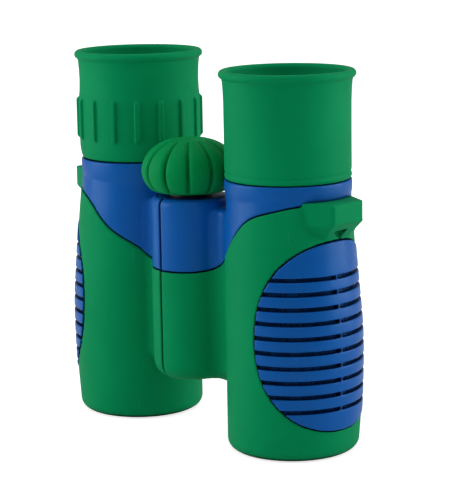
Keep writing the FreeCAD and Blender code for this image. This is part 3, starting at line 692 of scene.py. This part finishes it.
def lathe(profile, n, x, y, shift=None):
    """Closed revolve of a closed profile; shift(angle, r, z) gives a radial shift."""
    m = len(profile)
    radius, z = profile.T
    verts = np.zeros((n, m, 3))
    for i, t in enumerate(np.linspace(0, 2 * np.pi, n, endpoint=False)):
        r = radius if shift is None else radius + shift(t, radius, z)
        verts[i, :, 0] = x + r * math.cos(t)
        verts[i, :, 1] = y + r * math.sin(t)
        verts[i, :, 2] = z
    faces = []
    for i in range(n):
        j = (i + 1) % n
        for k in range(m):
            l = (k + 1) % m
            faces.append((i * m + k, j * m + k, j * m + l, i * m + l))
    return mesh(verts.reshape(-1, 3), faces)


def cup_profile(bottom, rim, seat, wall):
    """Eyecup section: outer wall, rolled rim at z = rim, inner ledge at z = seat, bore."""
    points = wall + [(17.80, rim - 7.5), (17.92, rim - 4.2), (18.08, rim - 2.3),
                     (18.2, rim - 1.25)]
    for k in range(17):
        a = math.radians(-70 + 15.6 * k)
        points.append((17.95 + 1.22 * math.cos(a), rim + 1.22 * math.sin(a)))
    points += [
        (16.75, rim - 0.9), (16.5, rim - 3.0), (16.42, seat + 2.1), (16.2, seat + 1.5),
        (15.6, seat + 1.25), (13.4, seat + 1.2), (12.75, seat + 0.95), (12.62, seat + 0.6),
        (12.75, seat + 0.2), (13.2, seat + 0.02), (16.28, seat + 0.02), (16.32, seat - 0.5),
        (16.32, bottom + 0.2), (16.5, bottom)]
    return resample(points, 0.32)


def cup_ribs(t, r, z):
    """Sixteen upright ribs on the outer wall of the left eyecup."""
    pitch = 2 * math.pi / 16
    off = (t - math.radians(-1.3) + math.pi) / pitch
    off = (off - round(off)) * pitch * 18.6      # mm along the wall from the nearest rib
    across = 1 - smoothstep(0.50, 0.98, np.abs(off))
    along = smoothstep(83.2, 84.3, z) * (1 - smoothstep(95.1, 96.2, z))
    return np.where(r > 17.6, 0.78 * across * along, 0.0)


# outer walls as (radius, z), bottom to top
WALL_R = [(17.3, TOP_R + 0.14), (17.6, TOP_R + 0.3), (17.76, 77.6), (17.86, 78.1),
          (17.84, 78.5), (17.52, 78.75), (17.52, 79.0), (17.78, 79.3), (17.77, 90.0)]
WALL_L = [(17.25, TOP_L + 0.27), (17.5, TOP_L + 0.5), (17.72, 78.8), (17.95, 79.7),
          (18.1, 80.8), (18.17, 82.0), (18.17, 95.0), (18.08, 96.4), (17.92, 97.6),
          (17.86, 99.5)]
cup_right = lathe(cup_profile(TOP_R + 0.14, 106.07, 100.52, WALL_R), SEGMENTS, AXIS_X, 0)
place(cup_right, "eyecup_right_look", "eyecup_right", "right_half", "soft_rubber")
cup_left = lathe(cup_profile(TOP_L + 0.27, 108.55, 102.62, WALL_L),
                 1152, AXIS_X, 0, cup_ribs)
place(cup_left, "eyecup_left_look", "eyecup_left", "dioptre_ring", "soft_rubber", flip=True)

# focusing wheel: soft lobed cover with a small flat crown; the side is part of an ellipse
WHEEL_R, WHEEL_HALF_H, WHEEL_MID = 13.8, 9.5, 77.4
WHEEL_BOTTOM, WHEEL_TOP = 71.3, 85.9


def wheel_profile():
    start = math.asin((WHEEL_BOTTOM - WHEEL_MID) / WHEEL_HALF_H)
    end = math.acos(5.2 / WHEEL_R)
    points = [(8.62, WHEEL_BOTTOM), (10.0, WHEEL_BOTTOM)]
    for t in np.linspace(start + 0.03, end, 40):
        points.append((WHEEL_R * math.cos(t), WHEEL_MID + WHEEL_HALF_H * math.sin(t)))
    points += [(4.9, WHEEL_TOP - 0.02), (3.0, WHEEL_TOP), (0.6, WHEEL_TOP),
               (0.25, WHEEL_TOP), (0.25, 83.2), (0.6, 82.52), (8.6, 82.52), (8.62, 82.0)]
    return resample(points, 0.35)


def wheel_lobes(t, r, z):
    """Twelve swollen lobes with narrow grooves between them, on the outer surface only."""
    pitch = 2 * math.pi / 12
    off = t / pitch
    off = off - round(off)               # 0 at a lobe's crest, 0.5 in a groove
    from_groove = (0.5 - abs(off)) * pitch * np.maximum(r, 4.0)
    groove = 1.0 * np.exp(-(from_groove / 0.52) ** 1.6)
    crest = 0.36 * (1 - (2 * abs(off)) ** 2.2)
    outer = smoothstep(4.9, 7.2, r) * np.where((z > WHEEL_BOTTOM + 0.02) & (r > 4.9), 1, 0)
    outer = (outer * smoothstep(WHEEL_BOTTOM - 0.2, WHEEL_BOTTOM + 1.2, z)
             * np.where(r < 8.7, np.where(z > 83, 1, 0), 1))
    return outer * (crest - groove - 0.10)


wheel = lathe(wheel_profile(), 480, 0, HINGE_Y, wheel_lobes)
place(wheel, "focus_wheel_look", "focus_wheel_cover", "focus_wheel", "wheel")

# CAD pieces that stay visible
for piece in NODES.values():
    if not piece.hide_render:
        piece.data.shade_smooth()

# ------------------------------------------------------------------ camera (mm, radians)
CAMERA_POS = Vector((395.727, -371.597 + SHIFT_Y, 156.532)) * 0.001
YAW, PITCH, ROLL = -0.8104110654, -0.1904490730, -0.0173405983   # yaw 0 looks along +Y
forward = Vector((math.sin(YAW) * math.cos(PITCH), math.cos(YAW) * math.cos(PITCH),
                  math.sin(PITCH)))
level_right = Vector((math.cos(YAW), -math.sin(YAW), 0.0))
level_up = level_right.cross(forward)
right = level_right * math.cos(ROLL) + level_up * math.sin(ROLL)
up = -level_right * math.sin(ROLL) + level_up * math.cos(ROLL)
pose = Matrix((right, up, -forward)).transposed().to_4x4()
pose.translation = CAMERA_POS

lens = bpy.data.cameras.new("cam")
camera = link(lens, "cam")
camera.matrix_world = pose
lens.sensor_fit = 'AUTO'
lens.sensor_width = 36.0
lens.lens = 134.9095348
lens.clip_start, lens.clip_end = 0.01, 50.0
bpy.context.scene.camera = camera

# ------------------------------------------------------------------ lights (metres, watts)
across = Vector((level_right.x, level_right.y, 0)).normalized()   # level, to camera right
toward = Vector((-forward.x, -forward.y, 0)).normalized()         # level, toward the camera
TARGET = Vector((0, 0, 0.055))
LIGHTS = [  # name, offset from the target (across, toward, up), width, height, power
    ("left_box", (-0.62, 0.05, 0.10), 0.5, 0.7, 3.3),
    ("right_box", (0.62, 0.05, 0.10), 0.5, 0.7, 3.2),
    ("top_box", (0.0, 0.10, 0.75), 0.8, 0.8, 1.7),
    ("front_fill", (0.0, 0.9, 0.45), 0.6, 0.6, 0.7),
]
for name, (sideways, near, height), size_x, size_y, power in LIGHTS:
    light = bpy.data.lights.new(name, 'AREA')
    light.shape = 'RECTANGLE'
    light.size, light.size_y = size_x, size_y
    light.energy = power
    lamp = link(light, name)
    lamp.location = TARGET + across * sideways + toward * near + Vector((0, 0, height))
    lamp.rotation_euler = (TARGET - lamp.location).to_track_quat('-Z', 'Y').to_euler()


# ------------------------------------------------------------------ floor and world
def floor_material():
    """Pale floor that glows to the camera, brighter outwards, and is clear from below."""
    mat = bpy.data.materials.new("floor")
    tree = empty_tree(mat)
    geometry = node(tree, 'NewGeometry')
    camera_ray = node(tree, 'LightPath').outputs['Is Camera Ray']
    distance = node(tree, 'VectorMath', {0: geometry.outputs['Position']}, operation='LENGTH')
    fade = map_range(tree, distance.outputs['Value'], 0.06, 0.45, to_min=0.72, to_max=1.0)
    glow = node(tree, 'Math', {0: fade, 1: camera_ray}, operation='MULTIPLY')
    diffuse = node(tree, 'BsdfDiffuse', {'Color': (0.80, 0.80, 0.80, 1)})
    emission = node(tree, 'Emission', {'Strength': glow.outputs[0]})
    top = node(tree, 'AddShader', {0: diffuse.outputs[0], 1: emission.outputs[0]})
    clear = node(tree, 'BsdfTransparent')
    seen = node(tree, 'MixShader', {
        0: geometry.outputs['Backfacing'], 1: top.outputs[0], 2: clear.outputs[0]})
    node(tree, 'OutputMaterial', {0: seen.outputs[0]})
    return mat


FLOOR_HALF = 8.0
floor_mat = floor_material()
floor_mesh = bpy.data.meshes.new("floor")
floor_mesh.from_pydata([(-FLOOR_HALF, -FLOOR_HALF, 0), (FLOOR_HALF, -FLOOR_HALF, 0),
                        (FLOOR_HALF, FLOOR_HALF, 0), (-FLOOR_HALF, FLOOR_HALF, 0)],
                       [], [(0, 1, 2, 3)])
floor = link(floor_mesh, "floor")
floor.location.z = -0.0001
floor_mesh.materials.append(floor_mat)


def studio_world():
    """White to the camera; as light, dimmer from the camera's side than from behind."""
    world = bpy.data.worlds.new("studio")
    tree = empty_tree(world)
    white = (1, 1, 1, 1)
    direction = node(tree, 'TexCoord').outputs['Generated']
    facing = node(tree, 'VectorMath', {0: direction, 1: tuple(toward)},
                  operation='DOT_PRODUCT')
    strength = map_range(tree, facing.outputs['Value'], -0.2, 0.9, to_min=0.37, to_max=0.10)
    backdrop = node(tree, 'Background', {0: white, 1: 1.0})
    ambient = node(tree, 'Background', {0: white, 1: strength})
    camera_ray = node(tree, 'LightPath').outputs['Is Camera Ray']
    mixed = node(tree, 'MixShader', {
        0: camera_ray, 1: ambient.outputs[0], 2: backdrop.outputs[0]})
    node(tree, 'OutputWorld', {0: mixed.outputs[0]})
    return world


bpy.context.scene.world = studio_world()
bpy.context.scene.view_settings.view_transform = 'Standard'
bpy.context.scene.view_settings.look = 'None'
